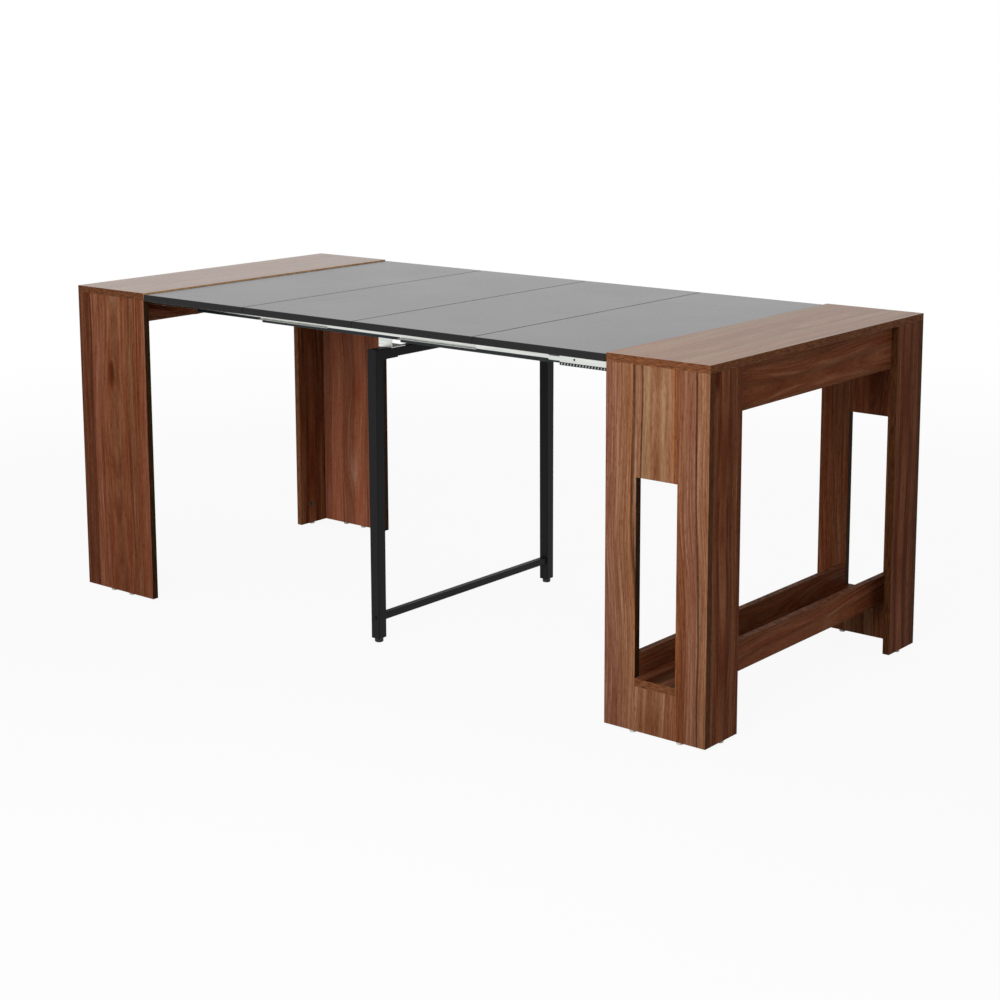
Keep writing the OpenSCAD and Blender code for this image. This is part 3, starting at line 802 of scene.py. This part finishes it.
# The height of its middle on the channel, its band of painted shadow along the top, its gap to the
# outer channel's mouth and how deep it's sunk
STOP_UP = 0.0095
STOP_SHADOW_BAND = 0.0015
STOP_AHEAD = 0.0005
STOP_SINK = 0.00002
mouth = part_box("slide_1_outer")[0].x
middle_low, middle_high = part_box("slide_1_middle")
for side, name in ((-1, "slide_stop_near"), (1, "slide_stop_far")):
    place = (
        mouth - STOP_SIZE[0] / 2 - STOP_AHEAD,
        side * (middle_high.y + STOP_SIZE[1] / 2 - STOP_SINK),
        middle_low.z + STOP_UP,
    )
    bm = bmesh.new()
    bmesh.ops.create_cube(bm, size=1.0, matrix=Matrix.Translation(place) @ Matrix.Diagonal((*STOP_SIZE, 1)))
    corners = [edge for edge in bm.edges if abs((edge.verts[1].co - edge.verts[0].co).y) > STOP_SIZE[1] / 2]
    bmesh.ops.bevel(bm, geom=corners, offset=STOP_CORNER, segments=4, profile=0.5, affect="EDGES")
    # Above this line the plate takes the painted shadow
    line = place[2] + STOP_SIZE[2] / 2 - STOP_SHADOW_BAND
    cut_level(bm, line)
    for flat in bm.faces:
        flat.material_index = 1 if flat.calc_center_median().z > line else 0
    make_piece(name, bm, [zinc, painted_race_shade], body_of("slide_1_middle"))
print("stop plates of", round(STOP_SIZE[0] * 1000), "mm")

# %% [markdown]
# Screws, rivets, glides and cam locks are round, so each kind starts as one profile swept round an
# axis, as a lathe would turn it, in shares of its diameter and height. The ones that are driven get
# a cross recess. The tree scales the template to the real size and sets one on every point.

# %% Turned templates
# Length, width and depth of a recess's slots, in shares of a head
RECESS = (0.62, 0.13, 0.16)
ROUND_STEPS = 28


def skin(bm, rings, steps):
    """Closes the wall from each ring of points to the next and turns its faces outwards."""
    for low, high in zip(rings, rings[1:]):
        for i in range(steps):
            j = (i + 1) % steps
            ring = [low[i % len(low)], low[j % len(low)], high[j % len(high)], high[i % len(high)]]
            bm.faces.new(list(dict.fromkeys(ring)))
    bmesh.ops.recalc_face_normals(bm, faces=bm.faces)


def turned(name, profile, recess=False):
    """A closed template swept round Z from radii and heights, with a cross recess on top if asked."""
    bm = bmesh.new()
    rings = []
    for radius, height in profile:
        angles = [2 * math.pi * i / ROUND_STEPS for i in range(ROUND_STEPS)] if radius > 0 else [0.0]
        rings.append([
            bm.verts.new((radius * math.cos(angle), radius * math.sin(angle), height)) for angle in angles
        ])
    skin(bm, rings, ROUND_STEPS)
    made = as_object(name, bm)
    return cross_recess(made, profile[-1][1]) if recess else made


def cross_recess(template, top):
    """Cuts two crossed slots into the top of a template."""
    length, width, depth = RECESS
    bm = bmesh.new()
    for across, along in ((length, width), (width, length)):
        box = Matrix.Translation((0, 0, top)) @ Matrix.Diagonal((across, along, depth, 1))
        bmesh.ops.create_cube(bm, size=1.0, matrix=box)
    slots = as_object("slots", bm)
    cut = template.modifiers.new("recess", "BOOLEAN")
    cut.object = slots
    cut.use_self = True
    keep_result(template, cut)
    bpy.data.objects.remove(slots)
    return template


def fitting_tree():
    """A template, scaled to a diameter and a height, on every point."""
    tree, given, turn = new_tree("turned_fitting", {"Diameter": 0.01, "Height": 0.01})
    tree.interface.new_socket("Template", in_out="INPUT", socket_type="NodeSocketObject")
    source = add(tree, "GeometryNodeObjectInfo", {"Object": given["Template"]})
    size = add(tree, "ShaderNodeCombineXYZ", {
        0: given["Diameter"], 1: given["Diameter"], 2: given["Height"],
    })
    scaled = add(tree, "GeometryNodeTransform", {"Geometry": source.outputs["Geometry"], "Scale": size})
    return end_tree(tree, given, turn, scaled)


turned_fitting = fitting_tree()
TEMPLATES = {
    "screw": turned("screw", [(0, 0), (0.36, 0), (0.5, 0.08), (0.5, 0.97), (0.46, 1), (0, 1)], True),
    "rivet": turned("rivet", [
        (0, 0), (0.29, 0), (0.29, 0.77), (0.5, 0.77), (0.49, 0.86), (0.36, 0.96), (0, 1),
    ]),
    "glide": turned("glide", [
        (0, 0), (0.38, 0), (0.45, 0.08), (0.49, 0.42), (0.5, 0.7), (0.5, 1), (0, 1),
    ]),
    "cam_lock": turned("cam_lock", [
        (0, 0), (0.5, 0), (0.5, 0.97), (0.47, 1), (0.41, 1), (0.39, 0.97), (0, 0.97),
    ], True),
    "pan_head": turned("pan_head", [
        (0, 0), (0.5, 0), (0.5, 0.35), (0.43, 0.75), (0.25, 0.96), (0, 1),
    ], True),
}
print(len(TEMPLATES), "templates")

# %% [markdown]
# The odd side of a fitting's box is its axis, and the head is the end that shows: towards the
# middle of the table for cam locks and storage screws, and outwards for the screws and rivets
# that are driven from the open side of an inner channel. Glides stand upright on the floor.

# %% Screws, rivets, glides and cam locks
def seats(node, outwards=False):
    """The base and facing of each solid's fitting, with the diameter and height that they share."""
    points = []
    for low, high in solids(node):
        size = high - low
        odd = max(range(3), key=lambda i: abs(size[i] - sorted(size)[1]))
        facing = Vector((0, 0, 0))
        middle = (low + high) / 2
        facing[odd] = 1.0 if odd == 2 else math.copysign(1.0, middle[odd] if outwards else -middle[odd])
        points.append((middle - facing * size[odd] / 2, facing))
    return points, sorted(size)[1], size[odd]


FITTINGS = [
    ("storage_slide_screws", "screw", zinc, "zinc_plated_steel", False),
    ("plain_slide_screws", "screw", zinc, "zinc_plated_steel", True),
    ("slide_rivets", "rivet", zinc, "zinc_plated_steel", True),
    ("storage_cam_locks", "cam_lock", cam_zinc, "zinc_plated_steel", False),
    ("plain_cam_locks", "cam_lock", cam_zinc, "zinc_plated_steel", False),
    ("storage_glides", "glide", glide_pale, "glide_plastic", False),
    ("plain_glides", "glide", glide_pale, "glide_plastic", False),
]
for node, template, made, slot, outwards in FITTINGS:
    points, diameter, height = seats(node, outwards)
    fitting = grow(node + "_turned", turned_fitting, points, {
        "Template": TEMPLATES[template], "Diameter": diameter, "Height": height,
    }, made)
    declare(fitting, body_of(node), [node])
    print(node, len(points), "of", round(diameter * 1000, 1), "by", round(height * 1000, 1), "mm")

# %% [markdown]
# The black pins of the fixed slides have a small round head. The CAD has no node for them, so
# their places are measured from the mouth of the outer channel.

# %% Pins of the fixed slides
PIN_IN = 0.038
PIN_UP = 0.0145
PIN_SINK = 0.0004
PIN_D = 0.0048
PIN_H = 0.0013
low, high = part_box("slide_1_outer")
pins = []
for side in (-1, 1):
    place = (low.x + PIN_IN, side * (high.y - PIN_SINK), low.z + PIN_UP)
    pins.append((place, (0.0, float(side), 0.0)))
pin_heads = grow("slide_pins_moulded", turned_fitting, pins, {
    "Template": TEMPLATES["pan_head"], "Diameter": PIN_D, "Height": PIN_H,
}, foot_black)
declare(pin_heads, body_of("slide_1_outer"))
print(len(pins), "pins")

# %% [markdown]
# A brass clip is stamped from thick strip: rounded corners, one screw hole, and a round-headed
# screw that holds it under one leaf while its long end reaches under the next.

# %% Brass clips and their screws
CLIP_CORNER = 0.003
CLIP_THINNEST = 0.001
HEAD_D = 0.0075
HEAD_H = 0.0016
# The screw's place along a clip, in shares of its length
SCREW_SHARE = 2 / 3
FINE_EDGE = 0.0003
# An edge runs along an axis when the axis has this share of its length, and it's a corner when its
# faces turn by more than this, in radians
ALONG = 0.999
CORNER_TURN = 1.5


def rounded_along(bm, axis, radius, shortest, segments=4):
    """Rounds the outer corners that run along an axis."""
    edges = []
    for edge in bm.edges:
        run = edge.verts[1].co - edge.verts[0].co
        straight = abs(run[axis]) > ALONG * run.length and run.length > shortest
        if straight and edge.is_convex and edge.calc_face_angle(0) > CORNER_TURN:
            edges.append(edge)
    bmesh.ops.bevel(bm, geom=edges, offset=radius, segments=segments, profile=0.5, affect="EDGES")
    return bm


for number in range(2, 5):
    node = f"leaf_clips_{number}"
    plates = rounded_along(merged(node), 2, CLIP_CORNER, CLIP_THINNEST)
    clips = make_piece(node + "_brass", plates, [brass], body_of(node), [node])
    round_edges(clips, FINE_EDGE)
    points = []
    for low, high in solids(node):
        hole = Vector((low.x + (high.x - low.x) * SCREW_SHARE, (low.y + high.y) / 2, low.z))
        points.append((hole, (0.0, 0.0, -1.0)))
    heads = grow(node + "_screws", turned_fitting, points, {
        "Template": TEMPLATES["pan_head"], "Diameter": HEAD_D, "Height": HEAD_H,
    }, brass)
    declare(heads, body_of(node))
print("clips under three seams")

# %% [markdown]
# The centre leg is made of square steel tube, whose corners are drawn round. Only the corners
# along a tube are rounded, so its cut ends stay square, apart from a fine edge on everything.

# %% Centre leg
TUBE_RADIUS = 0.0025
BAR_RADIUS = 0.0018
SHORTEST_RUN = 0.02
for node, radius, axes in (
    ("leg_post_near", TUBE_RADIUS, (2, 1)), ("leg_post_far", TUBE_RADIUS, (2, 1)),
    ("leg_top_bar", BAR_RADIUS, (1,)), ("leg_lower_bar", BAR_RADIUS, (1,)),
):
    tube = merged(node)
    for axis in axes:
        rounded_along(tube, axis, radius, SHORTEST_RUN)
    steel_tube = make_piece(node + "_tube", tube, [powder], body_of(node), [node])
    round_edges(steel_tube, FINE_EDGE)
screws = make_piece("leg_screws_steel", merged("leg_screws"), [powder],
                    body_of("leg_screws"), ["leg_screws"])
round_edges(screws, FINE_EDGE)
print("leg tubes dressed")

# %% [markdown]
# The top bar plugs into a socket on each post, and the socket is welded on: a row of small
# overlapping beads, each grown on a point of the seam, stays visible under the powder coat.

# %% Weld beads
BEAD_STEP = 0.0018
BEAD_RADIUS = 0.0016


def bead_tree():
    """A round lump on every point, as one pulse of a weld leaves it."""
    tree, given, turn = new_tree("weld_bead", {"Radius": BEAD_RADIUS})
    lump = add(tree, "GeometryNodeMeshIcoSphere", {"Radius": given["Radius"], "Subdivisions": 2})
    return end_tree(tree, given, turn, lump)


weld_bead = bead_tree()
for node in ("leg_post_near", "leg_post_far"):
    low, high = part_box(node)
    side = -math.copysign(1.0, low.y)
    tube_width = high.x - low.x
    inner_y = (low.y if side > 0 else high.y) + side * tube_width
    count = int(tube_width / BEAD_STEP)
    points = [(Vector((low.x + (i + 0.5) * tube_width / count, inner_y, high.z - tube_width)), UP)
              for i in range(count)]
    weld = grow(node + "_weld", weld_bead, points, {"Radius": BEAD_RADIUS}, powder)
    declare(weld, body_of(node))
print("beads in a weld:", count)

# %% [markdown]
# A levelling foot is moulded over the head of a threaded stud. Its rim is fluted for the fingers
# and its base is chamfered, so that it slides over a hard floor. Flutes could be cut with a
# boolean, but a radius that waves on its way round gives them at once, with clean faces.

# %% Levelling feet
FLUTES = 14
FLUTE_DEPTH = 0.0005
STEPS = FLUTES * 6
DISC_HEIGHT = 0.0098
STUD_RADIUS = 0.004


def foot_piece(node):
    """A fluted foot with its stud, swept round its axis from the floor up."""
    low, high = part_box(node)
    radius = (high.x - low.x) / 2
    centre = (low + high) / 2
    tall = high.z - low.z
    # Radius, height and whether the flutes run through that height
    profile = [
        (0, 0, 0), (radius * 0.80, 0, 0), (radius * 0.9, 0.0005, 0), (radius, 0.002, 0),
        (radius, 0.0032, 1), (radius, DISC_HEIGHT - 0.0024, 1), (radius, DISC_HEIGHT - 0.0016, 0),
        (radius * 0.93, DISC_HEIGHT, 0), (STUD_RADIUS, DISC_HEIGHT, 0),
        (STUD_RADIUS, tall - 0.0006, 0), (STUD_RADIUS * 0.85, tall, 0), (0, tall, 0),
    ]
    bm = bmesh.new()
    rings = []
    for ring_radius, height, fluted in profile:
        ring = []
        for i in range(STEPS if ring_radius else 1):
            turn = 2 * math.pi * i / STEPS
            dip = FLUTE_DEPTH * fluted * (0.5 - 0.5 * math.cos(FLUTES * turn))
            reach = ring_radius - dip
            x = centre.x + reach * math.cos(turn)
            y = centre.y + reach * math.sin(turn)
            ring.append(bm.verts.new((x, y, low.z + height)))
        rings.append(ring)
    skin(bm, rings, STEPS)
    return make_piece(node + "_moulded", bm, [foot_black], body_of(node), [node])


feet = [foot_piece(node) for node in ("foot_near", "foot_far")]
print(len(feet), "feet with", FLUTES, "flutes each")

# %% [markdown]
# The templates have done their work and are deleted, so that nothing but the table is left.

# %% Clear the templates
for template in TEMPLATES.values():
    bpy.data.objects.remove(template)

# %% [markdown]
# The table stands on a plain pale floor in a white room. A large soft lamp stands in front of
# the near side, towards the storage end, and a weak one beside that end, so the end face stays
# darker than the near sides, as in the photograph. A low weak one reaches in under the leaves, and
# a wide one hangs overhead. An image of a room could light the table too, but no image is used.
# The camera and mirrored rays see white, and the room's own light on the table is weaker.
# Mirrored rays don't see the lamps: seen from behind, a lamp's image would fill the glossy leaves
# with a white patch, where the real ones mirror only the pale room.

# %% Floor, room and lamps
# The strength of the room's light on the table, beside the 1 that shows as white
AMBIENT = 0.34
# The floor shows at this strength up to the first distance from the table, and white past the second
FLOOR_SHINE = 0.93
FADE = (1.3, 4.5)
HALF_FLOOR = 20
floor_mesh = bpy.data.meshes.new("floor")
floor_corners = [(x * HALF_FLOOR, y * HALF_FLOOR, 0) for x, y in ((-1, -1), (1, -1), (1, 1), (-1, 1))]
floor_mesh.from_pydata(floor_corners, [], [(0, 1, 2, 3)])
floor = bpy.data.objects.new("floor", floor_mesh)
bpy.context.collection.objects.link(floor)

floor_paint = bpy.data.materials.new("pale_studio_floor")
floor_paint.use_nodes = True
tree = floor_paint.node_tree
tree.nodes.clear()
rays = add(tree, "ShaderNodeLightPath")
where = add(tree, "ShaderNodeTexCoord")
away = add(tree, "ShaderNodeVectorMath", {0: where.outputs["Object"]}, operation="LENGTH")
shine = add(tree, "ShaderNodeMapRange", {
    "Value": away.outputs["Value"], "From Min": FADE[0], "From Max": FADE[1],
    "To Min": FLOOR_SHINE, "To Max": 1.0,
}, interpolation_type="SMOOTHSTEP")
seen = add(tree, "ShaderNodeMath", {0: rays.outputs["Is Camera Ray"], 1: shine.outputs["Result"]},
           operation="MULTIPLY")
mirrored = add(tree, "ShaderNodeMath", {
    0: rays.outputs["Is Glossy Ray"], 1: rays.outputs["Is Transmission Ray"],
}, operation="MAXIMUM")
white = add(tree, "ShaderNodeMath", {0: seen, 1: mirrored}, operation="MAXIMUM")
matt = add(tree, "ShaderNodeBsdfDiffuse", {"Color": linear("#cacaca")})
glow = add(tree, "ShaderNodeEmission", {"Color": linear("#ffffff"), "Strength": 1.0})
mixed = add(tree, "ShaderNodeMixShader", {0: white, 1: matt, 2: glow})
add(tree, "ShaderNodeOutputMaterial", {"Surface": mixed})
floor_mesh.materials.append(floor_paint)

world = bpy.data.worlds.new("white_room")
world.use_nodes = True
bpy.context.scene.world = world
tree = world.node_tree
tree.nodes.clear()
rays = add(tree, "ShaderNodeLightPath")
first = add(tree, "ShaderNodeMath", {0: rays.outputs["Is Camera Ray"], 1: rays.outputs["Is Glossy Ray"]},
            operation="MAXIMUM")
bright = add(tree, "ShaderNodeMath", {0: first, 1: rays.outputs["Is Transmission Ray"]}, operation="MAXIMUM")
level = add(tree, "ShaderNodeMapRange", {"Value": bright, "To Min": AMBIENT, "To Max": 1.0})
room = add(tree, "ShaderNodeBackground", {"Color": linear("#ffffff"), "Strength": level.outputs["Result"]})
add(tree, "ShaderNodeOutputWorld", {"Surface": room})

# Each lamp: name, place, aim, width, height and power
LAMPS = [
    ("key", (1.0, -2.3, 1.65), (0.5, 0.0, 0.6), 1.8, 1.2, 43.0),
    ("low", (-0.7, -2.7, 0.6), (-0.8, 0.0, 0.4), 1.0, 0.8, 6.0),
    ("fill", (3.6, -0.7, 1.1), (0.9, 0.1, 0.4), 1.0, 1.0, 3.6),
    ("overhead", (-0.3, 0.3, 2.9), (-0.3, 0.1, 0.7), 3.0, 2.0, 10.5),
]
for name, place, aim, width, height, power in LAMPS:
    lamp_data = bpy.data.lights.new(name, "AREA")
    lamp_data.shape = "RECTANGLE"
    lamp_data.size = width
    lamp_data.size_y = height
    lamp_data.energy = power
    lamp = bpy.data.objects.new(name, lamp_data)
    lamp.location = place
    lamp.rotation_euler = (Vector(aim) - Vector(place)).to_track_quat("-Z", "Y").to_euler()
    lamp.visible_camera = False
    lamp.visible_glossy = False
    bpy.context.collection.objects.link(lamp)
print(len(LAMPS), "lamps")
